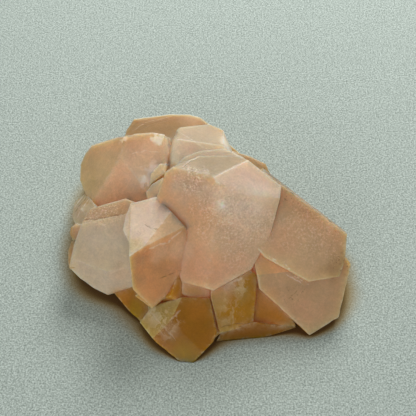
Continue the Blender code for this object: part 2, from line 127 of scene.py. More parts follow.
class Tint(Enum):
    """The colours that the calcite shows, family by family."""

    # whites, creams and greys
    WHITE = "#fbf0e0"
    PEARL = "#e8d6bc"
    PALE_ROSE = "#e8d0ba"
    MIST = "#dccdb6"
    PALE_SHELL = "#dac5a6"
    CREAM = "#d9c4aa"
    ROSE_CREAM = "#dcc3ac"
    SHADED_CREAM = "#cbb595"
    GREY_CREAM = "#b8aa92"
    DULL_CREAM = "#b9a484"
    # peaches and roses
    BRIGHT_PEACH = "#f8cca4"
    PEARL_BEIGE = "#ebcaa6"
    LIGHT_PEACH = "#eec8a2"
    BEIGE = "#e2bf9a"
    WARM_PEACH = "#eebc8e"
    APRICOT = "#ecbc88"
    PALE_PEACH = "#e2b890"
    ROSE = "#ecb08a"
    DEEP_PEACH = "#dfa46e"
    # straws, tans and browns
    HAY = "#e0bf90"
    PALE_TAN = "#dab890"
    STRAW = "#d0b27c"
    TAN = "#d3ae86"
    FAWN = "#bf9a70"
    DRAB = "#ae8a5e"
    BARK = "#a08050"
    UMBER_RIM = "#86663e"
    EARTH = "#6e4a1e"
    # honeys and ambers
    OCHRE_WHITE = "#bfa05a"
    HONEY = "#c69030"
    AMBER = "#cc8626"
    DARK_HONEY = "#bc8414"
    BROWN_AMBER = "#c88200"
    OLIVE = "#b08c10"
    UMBER = "#a8700a"
    DEEP_UMBER = "#945c00"


class Effect(Enum):
    """What a zone of the surface shows beside its tint."""

    ETCHED = "etched"
    SPECKLED = "speckled"
    FLAWED = "flawed"
    # A glinting zone gets a painted reflection: pale leaf cells laid into its colour.
    GLINTING = "glinting"


@dataclass(frozen=True)
class TintedFace:
    """A crystal face that has its own tint.

    Attributes:
        spot: A point on the face, in millimetres.
        tint: The face's colour.
    """

    spot: Place
    tint: Tint


@dataclass(frozen=True)
class Stain:
    """A soft cloud of another tint in the stone.

    Attributes:
        spot: Its middle, in millimetres.
        reach: How far it reaches, in millimetres.
        tint: Its colour.
        share: How much of the stone's own colour it takes over.
    """

    spot: Place
    reach: float
    tint: Tint
    share: float = 0.5


@dataclass(frozen=True)
class Zone:
    """A part of the surface that is etched, speckled, flawed or glinting.

    Attributes:
        effect: What it shows.
        spot: Its middle, in millimetres.
        reach: How far it reaches, in millimetres.
        share: How strong it is in its middle.
    """

    effect: Effect
    spot: Place
    reach: float
    share: float = 1.0


@dataclass(frozen=True)
class Line:
    """A crack, vein, growth line or scratch that runs along the surface.

    Attributes:
        tint: Its colour.
        width: Half its width, in millimetres.
        share: How much of the stone's colour it covers.
        depth: How deep it is cut, in millimetres.
        path: The points that it runs through, in millimetres.
    """

    tint: Tint
    width: float
    share: float
    depth: float
    path: tuple[Place, ...]


@dataclass(frozen=True)
class SoftEdge:
    """An edge that is rounded over instead of crisp.

    Attributes:
        start: One end, in millimetres.
        end: The other end, in millimetres.
        reach: How far from the edge the rounding reaches, in millimetres.
        rounds: How often it is smoothed.
    """

    start: Place
    end: Place
    reach: float
    rounds: int


TINTED_FACES = (
    TintedFace((1, 4, 37), Tint.DULL_CREAM),        # crown
    TintedFace((11, 0, 35), Tint.PALE_ROSE),
    TintedFace((9, -12, 25), Tint.PEARL_BEIGE),
    TintedFace((-4, -8, 28), Tint.WARM_PEACH),
    TintedFace((0, 11, 34), Tint.GREY_CREAM),
    TintedFace((28, -11, 20), Tint.PALE_TAN),       # blade
    TintedFace((22, 3, 29), Tint.FAWN),
    TintedFace((28, -22, 9), Tint.TAN),             # spur
    TintedFace((17, -16, 15), Tint.APRICOT),
    TintedFace((-18, -9, 27), Tint.PALE_ROSE),      # prow
    TintedFace((-12, -11, 27), Tint.BEIGE),
    TintedFace((-14, -19, 20), Tint.DEEP_PEACH),
    TintedFace((-23, -10, 26), Tint.ROSE_CREAM),
    TintedFace((-31, -9, 17), Tint.PALE_SHELL),     # pane
    TintedFace((-34, -15, 9), Tint.CREAM),
    TintedFace((-26, -17, 9), Tint.CREAM),
    TintedFace((-29, -1, 23), Tint.FAWN),
    TintedFace((-39, -5, 17), Tint.DRAB),
    TintedFace((-40, -9, 13), Tint.DRAB),
    TintedFace((-37, 7, 15), Tint.DULL_CREAM),      # chip
    TintedFace((-39, 5, 13), Tint.SHADED_CREAM),
    TintedFace((-19, 16, 28), Tint.PEARL_BEIGE),    # hump
    TintedFace((-33, 18, 21), Tint.HAY),
    TintedFace((-26, 9, 21), Tint.BRIGHT_PEACH),
    TintedFace((-16, 4, 26), Tint.PEARL_BEIGE),
    TintedFace((-15, 9, 28), Tint.BEIGE),
    TintedFace((-14, 32, 23), Tint.DRAB),           # crest
    TintedFace((-2, 23, 29), Tint.SHADED_CREAM),    # cream
    TintedFace((-6, 16, 30), Tint.PEARL),
    TintedFace((6, 21, 26), Tint.CREAM),
    TintedFace((14, 18, 21), Tint.BARK),
    TintedFace((26, 1, 26), Tint.UMBER_RIM),
    TintedFace((-4, -22, 11), Tint.DEEP_PEACH),     # tongue
    TintedFace((8, -24, 9), Tint.DARK_HONEY),       # honey
    TintedFace((18, -25, 5), Tint.AMBER),           # amber
    TintedFace((12, -30, 2), Tint.DEEP_UMBER),      # sill
    TintedFace((-4, -30, 7), Tint.UMBER),           # wedge
    TintedFace((-14, -28, 7), Tint.OCHRE_WHITE),
    TintedFace((-9, -35, 3), Tint.UMBER),
    TintedFace((-9, -22, 12), Tint.BROWN_AMBER),    # root
    TintedFace((-22, -21, 4), Tint.UMBER),
)

STAINS = (
    # crown: greyer at the top, deeper and rosier towards its foot
    Stain((-6, -1, 35), 9, Tint.CREAM, 0.6),
    Stain((-8, 1, 35), 6, Tint.MIST, 0.3),
    Stain((0, -4, 36), 6, Tint.CREAM, 0.6),
    # painted light: the next two white stains lift the crown's upper faces out of the back
    # lamp's shade
    Stain((5, -7, 34), 6, Tint.WHITE, 0.5),
    Stain((13, -4, 31), 7, Tint.WHITE, 0.5),
    Stain((9, -9, 28), 8, Tint.WHITE, 0.6),
    Stain((9, -10, 27), 8, Tint.BRIGHT_PEACH, 0.6),
    Stain((-5, -17, 19), 9, Tint.ROSE, 0.55),
    Stain((3, -20, 15), 9, Tint.ROSE, 0.6),
    Stain((0, -17, 20), 6, Tint.DEEP_PEACH, 0.45),
    Stain((9, -16, 18), 8, Tint.ROSE, 0.5),
    Stain((14, -13, 20), 5, Tint.BEIGE, 0.5),
    Stain((2, -12, 28), 6, Tint.PALE_PEACH, 0.5),
    # blade and spur: yellower towards their far edges, rosier where they join
    Stain((21, -11, 21), 7, Tint.ROSE, 0.35),
    Stain((30, -2, 25), 9, Tint.FAWN, 0.6),
    Stain((24, 0, 27), 7, Tint.FAWN, 0.5),
    Stain((38, -10, 20), 7, Tint.FAWN, 0.4),
    Stain((36, -17, 15), 6, Tint.BARK, 0.55),
    Stain((39, -13, 14), 5, Tint.BARK, 0.6),
    Stain((17, -20, 12), 5, Tint.TAN, 0.5),
    Stain((30, -20, 10), 8, Tint.TAN, 0.5),
    Stain((27, -25, 6), 8, Tint.ROSE, 0.3),
    # prow: a yellow corner, a rosy heart
    Stain((-21, -17, 27), 4, Tint.STRAW, 0.6),
    Stain((-14, -16, 24), 6, Tint.LIGHT_PEACH, 0.6),
    Stain((-8, -14, 22), 6, Tint.LIGHT_PEACH, 0.7),
    Stain((-20, -20, 24), 4, Tint.FAWN, 0.7),
    Stain((-20, -23, 19), 4, Tint.FAWN, 0.6),
    Stain((-11, -11, 27), 5, Tint.TAN, 0.4),
    Stain((-17, -25, 13), 6, Tint.DEEP_PEACH, 0.7),
    # pane: milky in its middle, browner at its foot
    Stain((-34, -6, 18), 8, Tint.MIST, 0.5),
    Stain((-27, -8, 18), 6, Tint.MIST, 0.4),
    Stain((-35, -14, 9), 6, Tint.CREAM, 0.5),
    Stain((-25, -16, 11), 5, Tint.PALE_PEACH, 0.4),
    Stain((-32, -17, 5), 5, Tint.ROSE_CREAM, 0.5),
    Stain((-36, 8, 15), 3.0, Tint.HONEY, 0.5),
    Stain((-29, 0, 23), 5, Tint.SHADED_CREAM, 0.4),
    Stain((-37, 5, 14), 5, Tint.TAN, 0.3),
    # hump: straw-yellow to the left, rosy where it meets its neighbours
    Stain((-36, 20, 19), 8, Tint.STRAW, 0.5),
    Stain((-37, 13, 16), 6, Tint.STRAW, 0.5),
    Stain((-24, 22, 29), 7, Tint.DRAB, 0.5),
    Stain((-15, 21, 31), 5, Tint.TAN, 0.5),
    Stain((-22, 9, 23), 5, Tint.ROSE_CREAM, 0.5),
    Stain((-28, 6, 18), 6, Tint.WARM_PEACH, 0.4),
    # crest: a brighter right half
    Stain((-15, 33, 23), 9, Tint.DRAB, 0.3),
    Stain((-22, 31, 22), 7, Tint.BARK, 0.4),
    Stain((-5, 33, 24), 6, Tint.TAN, 0.6),
    Stain((14, 19, 21), 5, Tint.BARK, 0.6),
    Stain((-6, 16, 30), 5, Tint.ROSE_CREAM, 0.6),
    Stain((6, 21, 27), 4, Tint.WHITE, 0.8),
    # honey, amber and wedge: clear yellow parts between brown ones
    Stain((4, -24, 10), 4, Tint.STRAW, 0.45),
    Stain((6, -20, 12), 3.5, Tint.CREAM, 0.5),
    Stain((10, -22, 10), 4, Tint.OCHRE_WHITE, 0.4),
    Stain((5, -29, 5), 3, Tint.STRAW, 0.5),
    Stain((17, -22, 8), 5, Tint.DEEP_PEACH, 0.4),
    Stain((-4, -22, 11), 4, Tint.HONEY, 0.4),
    Stain((-7, -36, 2), 5, Tint.OLIVE, 0.5),
    Stain((-11, -32, 6), 4, Tint.FAWN, 0.5),
    Stain((-3, -27, 9), 5, Tint.AMBER, 0.4),
    Stain((-21, -23, 3), 4, Tint.OLIVE, 0.6),
    Stain((-26, -19, 4), 5, Tint.AMBER, 0.7),
    Stain((-17, -27, 7), 4, Tint.CREAM, 0.3),
)

ZONES = (
    Zone(Effect.ETCHED, (5, -9, 31), 11, 0.8),
    Zone(Effect.ETCHED, (13, -9, 26), 8, 0.75),
    Zone(Effect.ETCHED, (-5, -1, 36), 6),
    Zone(Effect.ETCHED, (8, -14, 21), 7, 0.5),
    Zone(Effect.ETCHED, (30, -7, 22), 13, 0.4),
    Zone(Effect.ETCHED, (-30, 1, 21), 8, 0.6),
    Zone(Effect.SPECKLED, (24, 0, 28), 5, 0.8),
    Zone(Effect.SPECKLED, (31, -3, 25), 5, 0.8),
    Zone(Effect.SPECKLED, (37, -7, 22), 5, 0.8),
    Zone(Effect.SPECKLED, (38, -15, 15), 5),
    Zone(Effect.SPECKLED, (-3, 3, 36), 6, 0.5),
    Zone(Effect.SPECKLED, (25, -22, 9), 5, 0.5),
    Zone(Effect.SPECKLED, (13, -17, 14), 3),
    Zone(Effect.FLAWED, (8, -20, 12), 5),
    Zone(Effect.FLAWED, (-13, -29, 7), 7),
    # painted reflections: glints on the hump and one on the crown
    Zone(Effect.GLINTING, (-14.5, 20, 31), 3.6),
    Zone(Effect.GLINTING, (-16, 11.5, 25.5), 3.2),
    Zone(Effect.GLINTING, (-18.5, 8.5, 24), 2.6, 0.8),
    Zone(Effect.GLINTING, (-25.5, 21, 29), 2.2, 0.6),
    Zone(Effect.GLINTING, (4, -8, 33), 1.2),
    Zone(Effect.FLAWED, (-20, -15, 27), 6, 0.6),
    Zone(Effect.FLAWED, (7, -26, 8), 6, 0.5),
    Zone(Effect.FLAWED, (-37, 6, 14), 5, 0.6),
)

LINES = (
    # crown: the stepped edge of its top
    Line(Tint.BARK, 0.22, 0.6, 0.12,
         ((-8, 2, 36.5), (-5, 6.5, 36), (0, 10, 35), (7, 8, 36))),
    # painted glints: two small white marks on the crown's top
    Line(Tint.WHITE, 0.45, 0.9, 0.0, ((3, -7.5, 34), (4.5, -8, 33.5))),
    Line(Tint.WHITE, 0.25, 0.8, 0.0, ((-1, -3, 36), (0.5, -3.5, 36))),
    Line(Tint.EARTH, 0.20, 0.6, 0.06,
         ((-8.5, 3, 34.5), (-5.5, 2, 36), (-2.5, 0.5, 36.5), (2, -0.5, 38))),
    # blade: the dark band along its far edge, then three scratches side by side
    Line(Tint.BARK, 0.60, 0.7, 0.0,
         ((19, 4, 31), (28, 0, 27), (35, -4, 23), (40.5, -8, 20))),
    Line(Tint.BARK, 0.50, 0.6, 0.0, ((40.5, -8, 20), (41, -14, 14))),
    Line(Tint.WHITE, 0.30, 0.6, 0.08, ((17, -14.5, 18.5), (22, -16.5, 15.5))),
    Line(Tint.WHITE, 0.35, 0.7, 0.10,
         ((22, -16.5, 17), (25, -18, 13.5), (29, -19.5, 11))),
    Line(Tint.WHITE, 0.25, 0.6, 0.08, ((22.5, -17.5, 13.5), (27.5, -19.5, 11))),
    Line(Tint.BARK, 0.22, 0.6, 0.05, ((23.5, -23, 9), (25.5, -21, 10.5))),
    # prow: cracks in its top and the ledge low on its front
    Line(Tint.BARK, 0.20, 0.7, 0.08,
         ((-18, -10, 27), (-16.5, -11.5, 27.5), (-14, -12, 27.5))),
    Line(Tint.WHITE, 0.40, 0.4, 0.0,
         ((-16.5, -17.5, 26), (-11.5, -14.5, 25), (-7.5, -11, 26))),
    Line(Tint.BARK, 0.25, 0.7, 0.20,
         ((-14, -21, 16.5), (-10.5, -19, 16), (-7.5, -17.5, 15.5))),
    # pane: the dark line along its top edge
    Line(Tint.EARTH, 0.28, 0.5, 0.08,
         ((-39, -2, 17), (-34.5, -3, 20.5), (-29.5, -3.5, 22), (-24.5, -3.5, 23.5))),
    # chip: its leaves
    Line(Tint.WHITE, 0.30, 0.5, 0.0, ((-40.5, 8, 12), (-38, 11, 14))),
    Line(Tint.EARTH, 0.25, 0.5, 0.15,
         ((-40.5, 6, 12), (-37.5, 9, 14.5), (-37, 11, 15))),
    Line(Tint.WHITE, 0.30, 0.5, 0.0,
         ((-40, 3.5, 12), (-37.5, 6, 14.5), (-36, 9, 15.5))),
    # hump: flaws inside it, shown as painted reflections where they shine
    Line(Tint.WHITE, 1.2, 0.85, 0.0,
         ((-17, 19.5, 30.5), (-14, 20, 31), (-14.5, 18, 29.5))),
    Line(Tint.WHITE, 0.9, 0.85, 0.0, ((-17, 11, 25.5), (-15, 12.5, 26.5))),
    Line(Tint.WHITE, 0.8, 0.75, 0.0, ((-19.5, 8, 23), (-19, 10, 24.5))),
    Line(Tint.PEARL, 0.25, 0.5, 0.0,
         ((-25, 21, 29), (-26, 15.5, 26.5), (-30, 11.5, 22), (-34, 8.5, 17))),
    Line(Tint.PEARL, 0.25, 0.5, 0.0,
         ((-26, 15.5, 26.5), (-22.5, 10, 26), (-19, 5, 25))),
    Line(Tint.WHITE, 0.25, 0.4, 0.0,
         ((-23, 16, 28), (-19, 16.5, 29), (-15, 15.5, 29.5))),
    Line(Tint.WHITE, 0.20, 0.4, 0.0, ((-22, 12, 26), (-18, 12.5, 27))),
    # crest: the dark band along its rim, and arcs of growth
    Line(Tint.BARK, 0.5, 0.5, 0.0,
         ((-26, 27, 24), (-21, 35, 19), (-12, 38.9, 20), (-3, 38, 20))),
    Line(Tint.CREAM, 0.3, 0.4, 0.08,
         ((-23.5, 29, 23), (-19.5, 33.5, 22), (-11.5, 36, 22.5))),
    Line(Tint.BARK, 0.2, 0.4, 0.08,
         ((-22.5, 28, 23), (-18.5, 32, 22.5), (-11, 34.5, 23))),
    # cream: a growth line across its front
    Line(Tint.WHITE, 0.3, 0.4, 0.0, ((-8.5, 22, 30.5), (-3.5, 18, 30), (3, 15, 29))),
    # honey: its inner wall and broken lower edge
    Line(Tint.STRAW, 0.35, 0.6, 0.0, ((7, -25, 8), (7, -30, 4))),
    Line(Tint.EARTH, 0.22, 0.5, 0.10, ((3.5, -30, 4.5), (7.5, -29, 5), (12, -28.5, 4.5))),
    Line(Tint.WHITE, 0.5, 0.5, 0.0, ((6, -20, 12.5), (9.5, -18.5, 13))),
    # wedge: white streak and cleaved edge
    Line(Tint.CREAM, 0.35, 0.6, 0.08, ((-11, -29.5, 7.5), (-8, -27, 9))),
    Line(Tint.CREAM, 0.4, 0.4, 0.08, ((-17, -26, 7), (-13.5, -30, 6.5), (-9.5, -34, 4))),
)

SOFT_EDGES = (
    # crown: its front is one bowed face, and its shoulder runs into it
    SoftEdge((3, -8, 33), (2, -18, 20), 6.5, 90),
    SoftEdge((4, -5, 35.5), (17, -3, 32), 2.2, 14),
    SoftEdge((-9, 2, 35), (-1, -1, 38), 1.6, 8),
    SoftEdge((-1, -1, 38), (3, -6, 35), 1.6, 6),
    # hump: its three faces blend, and it runs into the cream crystal
    SoftEdge((-11, 21, 30.5), (-11.5, 11, 28.5), 2.2, 40),
    SoftEdge((-26, 15.5, 26.5), (-33, 9.5, 17.5), 3.0, 16),
    SoftEdge((-26, 15.5, 26.5), (-20, 6, 25), 3.0, 16),
    SoftEdge((-26, 15.5, 26.5), (-25, 20.5, 29.5), 3.0, 16),
)


@dataclass(frozen=True)
class Pattern:
    """A noise inside or on the calcite.

    Attributes:
        size: Width of its features, in millimetres.
        detail: How many finer levels it has.
        roughness: How strong those are.
        twist: How far it is distorted.
    """

    size: float
    detail: float
    roughness: float
    twist: float = 0.0


# A real etch pit is some hundredths of a millimetre wide, and is drawn coarser here.
PATTERNS = {
    "cloud": Pattern(7.0, 4.0, 0.55, 0.6),
    "veil": Pattern(3.0, 6.0, 0.6, 1.6),
    "grain": Pattern(0.55, 2.0, 0.6),
    "speck": Pattern(0.7, 2.0, 0.5),
    "flaw": Pattern(1.5, 5.0, 0.65, 2.2),
    "broken": Pattern(1.3, 3.0, 0.6),
    "peel": Pattern(1.4, 3.0, 0.5),
}


@dataclass(frozen=True)
class Cloud:
    """How a pattern lightens and darkens the stone.

    Attributes:
        pattern: The pattern's name.
        low: The pattern's value where the stone is darkest.
        high: The pattern's value where it is lightest.
        darkest: What it adds to the brightness at its low.
        lightest: What it adds to the brightness at its high.
    """

    pattern: str
    low: float
    high: float
    darkest: float
    lightest: float


CLOUDS = (
    Cloud("cloud", 0.30, 0.70, 0.90, 1.04),
    Cloud("veil", 0.50, 0.72, -0.048, 0.072),
    Cloud("grain", 0.35, 0.65, -0.04, 0.06),
)


@dataclass(frozen=True)
class Layer:
    """A colour laid over the stone where a pattern and a mark are both strong.

    Attributes:
        pattern: The pattern that it is cut from.
        low: The pattern's value where the layer begins.
        high: The pattern's value where it is full.
        share: How much of the stone's colour it covers there.
        mark: The attribute that it keeps to.
        colour: Its colour.
    """

    pattern: str
    low: float
    high: float
    share: float
    mark: str
    colour: str


LAYERS = (
    Layer("grain", 0.46, 0.30, 0.28, "etched", "#ac865e"),
    Layer("grain", 0.52, 0.66, 0.68, "etched", "#fff0de"),
    Layer("flaw", 0.50, 0.74, 0.45, "flawed", "#f4e2bc"),
    Layer("flaw", 0.44, 0.30, 0.45, "flawed", "#8a5c22"),
    Layer("leaf", 0.60, 0.66, 0.30, "flawed", "#f6e6c4"),
    # painted reflection: pale leaf cells where a zone glints
    Layer("leaf", 0.36, 0.42, 0.85, "glinting", "#ffeee2"),
    Layer("speck", 0.60, 0.68, 0.75, "speckled", "#7a5830"),
    # painted light: lightens the grooves between crystals, lifting their shade
    Layer("broken", 0.20, 0.60, 0.45, "groove", "#e8c8a0"),
    # worn edges and painted highlight: a pale line along the ridges
    Layer("broken", 0.45, 0.75, 0.30, "ridge", "#f8ead6"),
    # painted shade: grey on high ridges that turn to the back lamp, dulling their glow
    Layer("broken", 0.10, 0.55, 0.80, "rim", "#9c968a"),
)


def relax(values: dict[Vert, Vector], around: dict[Vert, list[Vert]],
          fixed: dict[Vert, Vector], rounds: int) -> None:
    """Draw each point's value towards the mean of those around it.

    Args:
        values: The value of each point, which is changed.
        around: The points round each point.
        fixed: The values of points that stay as they are.
        rounds: How often that is done.
    """
    for _ in range(rounds):
        for vert, value in values.items():
            others = [values[other] if other in values else fixed[other]
                      for other in around[vert] if other in values or other in fixed]
            mean = others[0].copy()
            for other in others[1:]:
                mean += other
            value[:] = value.lerp(mean / len(others), 0.5)


def point_tree(points: list[Vector]) -> kdtree.KDTree:
    """Make a search tree of some points.

    Args:
        points: The points.

    Returns:
        The tree, which gives each point's number in the list.
    """
    tree = kdtree.KDTree(len(points))
    for index, point in enumerate(points):
        tree.insert(point, index)
    tree.balance()
    return tree


def vert_tree(bm: bmesh.types.BMesh) -> kdtree.KDTree:
    """Return a search tree of a mesh's points, which are then found by number."""
    bm.verts.ensure_lookup_table()
    return point_tree([vert.co for vert in bm.verts])


def blend(vert: Vert, layer: bmesh.types.BMLayerItem, colour: Vector, share: float) -> None:
    """Draw the tint at a point some share of the way towards a colour."""
    for loop in vert.link_loops:
        loop[layer] = Vector(loop[layer]).lerp(colour, share)


def make_object(name: str, bm: bmesh.types.BMesh) -> bpy.types.Object:
    """Turn a finished mesh into an object of the scene.

    Args:
        name: The name of the object and its mesh.
        bm: The mesh, which is used up.

    Returns:
        The new object.
    """
    mesh = bpy.data.meshes.new(name)
    bm.to_mesh(mesh)
    bm.free()
    made = bpy.data.objects.new(name, mesh)
    bpy.context.scene.collection.objects.link(made)
    return made


def spaced(start: Vector, end: Vector, step: float) -> list[Vector]:
    """Return points from start to end, at most about a step apart."""
    count = max(2, int((end - start).length / step) + 1)
    return [start.lerp(end, i / (count - 1)) for i in range(count)]


@dataclass
class ClusterStone:
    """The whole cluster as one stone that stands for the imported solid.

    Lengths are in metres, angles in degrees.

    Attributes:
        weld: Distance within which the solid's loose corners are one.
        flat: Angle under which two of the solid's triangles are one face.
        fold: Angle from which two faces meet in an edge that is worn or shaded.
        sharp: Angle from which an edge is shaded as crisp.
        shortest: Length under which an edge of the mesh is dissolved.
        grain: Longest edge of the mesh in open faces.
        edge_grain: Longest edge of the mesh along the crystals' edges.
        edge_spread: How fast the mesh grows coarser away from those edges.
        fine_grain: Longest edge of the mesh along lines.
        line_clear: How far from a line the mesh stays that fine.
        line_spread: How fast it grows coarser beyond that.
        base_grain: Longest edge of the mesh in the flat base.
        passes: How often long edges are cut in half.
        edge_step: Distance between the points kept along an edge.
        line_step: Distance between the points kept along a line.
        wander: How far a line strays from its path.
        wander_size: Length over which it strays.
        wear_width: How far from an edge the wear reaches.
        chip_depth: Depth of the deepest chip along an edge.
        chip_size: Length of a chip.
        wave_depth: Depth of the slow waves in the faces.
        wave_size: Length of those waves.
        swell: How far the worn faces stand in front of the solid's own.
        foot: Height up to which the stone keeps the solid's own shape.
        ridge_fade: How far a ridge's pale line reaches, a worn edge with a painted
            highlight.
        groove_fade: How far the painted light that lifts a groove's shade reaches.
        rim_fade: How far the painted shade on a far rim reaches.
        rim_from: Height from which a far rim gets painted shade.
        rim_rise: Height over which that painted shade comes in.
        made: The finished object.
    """

    weld: float = 1e-6
    flat: float = 0.4
    fold: float = 12.0
    sharp: float = 32.0
    shortest: float = 0.002 * MM
    grain: float = 1.05 * MM
    edge_grain: float = 0.56 * MM
    edge_spread: float = 0.6
    fine_grain: float = 0.30 * MM
    line_clear: float = 0.45 * MM
    line_spread: float = 0.5
    base_grain: float = 4.0 * MM
    passes: int = 10
    edge_step: float = 0.3 * MM
    line_step: float = 0.15 * MM
    wander: float = 0.35 * MM
    wander_size: float = 1.8 * MM
    wear_width: float = 0.8 * MM
    chip_depth: float = 0.5 * MM
    chip_size: float = 2.2 * MM
    wave_depth: float = 0.10 * MM
    wave_size: float = 6.0 * MM
    swell: float = 0.18 * MM
    foot: float = 0.3 * MM
    ridge_fade: float = 0.35 * MM
    groove_fade: float = 0.8 * MM
    rim_fade: float = 1.1 * MM
    rim_from: float = 13.0 * MM
    rim_rise: float = 5.0 * MM
    made: bpy.types.Object | None = field(default=None, init=False)

    def build(self) -> bpy.types.Object:
        """Make the stone's mesh and put it in the solid's place.

        Returns:
            The finished object.
        """
        bm = bmesh.new()
        bm.from_mesh(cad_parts[NODE].data)
        bmesh.ops.remove_doubles(bm, verts=bm.verts, dist=self.weld)
        bmesh.ops.dissolve_limit(
            bm, angle_limit=math.radians(self.flat), verts=bm.verts, edges=bm.edges)
        self._tint_faces(bm)
        ridges, grooves, backs = self._edge_points(bm)
        lines = self._line_points(bm)
        self._refine(bm, lines, ridges)
        self._stain(bm)
        self._mark_zones(bm)
        self._draw_lines(bm, lines)
        self._weather(bm, ridges, grooves, backs)
        self._soften(bm)
        bmesh.ops.dissolve_degenerate(bm, edges=bm.edges, dist=self.shortest)
        bmesh.ops.triangulate(bm, faces=[f for f in bm.faces if len(f.verts) > 3])
        bm.normal_update()
        self.made = make_object("calcite_stone", bm)
        mesh = self.made.data
        mesh.shade_smooth()
        mesh.set_sharp_from_angle(angle=math.radians(self.sharp))
        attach(self.made, BODY)
        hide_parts(NODE)
        log.info("stone: %d triangles", len(mesh.polygons))
        return self.made

    def dress(self, material: bpy.types.Material) -> None:
        """Give the stone its material."""
        self.made.data.materials.clear()
        self.made.data.materials.append(material)

    @staticmethod
    def _tint_faces(bm: bmesh.types.BMesh) -> None:
        """Colour each flat face by the nearest tinted face of the same slant.

        Args:
            bm: The mesh of flat faces.
        """
        layer = bm.loops.layers.float_color.new("tint")
        tree = BVHTree.FromBMesh(bm)
        bm.faces.ensure_lookup_table()
        known = {}
        for entry in TINTED_FACES:
            spot = Vector(entry.spot) * MM
            index = tree.find_nearest(spot)[2]
            known[index] = (entry.tint, spot, bm.faces[index].normal.copy())
        for face in bm.faces:
            if face.index in known:
                tint = known[face.index][0]
            else:
                centre = face.calc_center_median()
                tint = min(
                    known.values(),
                    key=lambda item: (item[1] - centre).length
                    * (2.0 - item[2].dot(face.normal)),
                )[0]
            colour = linear(tint.value)
            for loop in face.loops:
                loop[layer] = colour

    def _edge_points(
            self, bm: bmesh.types.BMesh) -> tuple[kdtree.KDTree, kdtree.KDTree, list[float]]:
        """Sample points along the edges that stand out and those that fold in.

        Args:
            bm: The mesh of flat faces.

        Returns:
            A tree of points on ridges, a tree of points in grooves, and for each
            point on a ridge how much the ridge turns to the back.
        """
        ridges, grooves, backs = [], [], []
        for edge in bm.edges:
            if len(edge.link_faces) != 2:
                continue
            angle = edge.calc_face_angle_signed()
            if abs(angle) < math.radians(self.fold):
                continue
            points = spaced(edge.verts[0].co, edge.verts[1].co, self.edge_step)
            if angle < 0.0:
                grooves.extend(points)
                continue
            ridges.extend(points)
            back = fade(max(face.normal.y for face in edge.link_faces), 0.2, 0.6)
            backs.extend([back] * len(points))
        return point_tree(ridges), point_tree(grooves), backs

    def _line_points(self, bm: bmesh.types.BMesh) -> list[list[Vector]]:
        """Lay each line's path on the stone.

        Args:
            bm: The mesh of flat faces.

        Returns:
            For each line, points close together along it.
        """
        surface = BVHTree.FromBMesh(bm)
        noise.seed_set(1)  # without a seed, noise_vector follows the clock
        laid = []
        for number, line in enumerate(LINES):
            points = []
            corners = [Vector(corner) * MM for corner in line.path]
            for start, end in zip(corners, corners[1:]):
                points += spaced(start, end, self.line_step)
            apart = Vector((number, 0, 0))
            strayed = [
                point + self.wander * noise.noise_vector(point / self.wander_size + apart)
                for point in points
            ]
            laid.append([surface.find_nearest(point)[0] for point in strayed])
        return laid

    def _refine(self, bm: bmesh.types.BMesh, lines: list[list[Vector]],
                ridges: kdtree.KDTree) -> None:
        """Cut the flat faces into small triangles, smallest along the lines.

        Args:
            bm: The mesh of flat faces, which is changed.
            lines: The points along each line.
            ridges: Points along the edges that stand out.
        """
        near_line = point_tree([point for points in lines for point in points])
        bmesh.ops.triangulate(bm, faces=bm.faces)
        for _ in range(self.passes):
            long_edges = []
            for edge in bm.edges:
                length = edge.calc_length()
                if length <= self.fine_grain:
                    continue
                middle = (edge.verts[0].co + edge.verts[1].co) / 2.0
                in_base = middle.z < 0.01 * MM
                if in_base:
                    limit = self.base_grain
                else:
                    reach = 0.4 * length
                    away = max(0.0, near_line.find(middle)[2] - self.line_clear - reach)
                    off_ridge = max(0.0, ridges.find(middle)[2] - reach)
                    limit = min(self.grain,
                                self.fine_grain + self.line_spread * away,
                                self.edge_grain + self.edge_spread * off_ridge)
                if length > limit:
                    long_edges.append(edge)
            if not long_edges:
                break
            bmesh.ops.subdivide_edges(bm, edges=long_edges, cuts=1)
            bmesh.ops.triangulate(bm, faces=[f for f in bm.faces if len(f.verts) > 3])

    @staticmethod
    def _stain(bm: bmesh.types.BMesh) -> None:
        """Cloud the stone's tint with the stains, each with a ragged outline.

        Args:
            bm: The fine mesh.
        """
        layer = bm.loops.layers.float_color["tint"]
        verts = vert_tree(bm)
        for number, stain in enumerate(STAINS):
            spot, reach = Vector(stain.spot) * MM, stain.reach * MM
            colour = Vector(linear(stain.tint.value))
            for place, index, away in verts.find_range(spot, 1.3 * reach):
                cloud = noise.noise(place / (0.45 * reach) + Vector((0, number, 0)))
                share = stain.share * fade(1.0 - away / reach + 0.3 * cloud, 0.0, 0.8)
                if share > 0.0:
                    blend(bm.verts[index], layer, colour, share)

    @staticmethod
    def _mark_zones(bm: bmesh.types.BMesh) -> None:
        """Note on the stone's points where it is etched, speckled, flawed or glinting.

        Args:
            bm: The fine mesh.
        """
        layers = {
            effect: bm.verts.layers.float.new(effect.value) for effect in Effect}
        verts = vert_tree(bm)
        for zone in ZONES:
            spot, reach = Vector(zone.spot) * MM, zone.reach * MM
            layer = layers[zone.effect]
            for place, index, away in verts.find_range(spot, reach):
                cloud = 0.4 * noise.noise(place / (0.3 * reach))
                share = zone.share * fade(1.0 - away / reach + cloud, 0.0, 0.7)
                vert = bm.verts[index]
                vert[layer] = max(vert[layer], share)

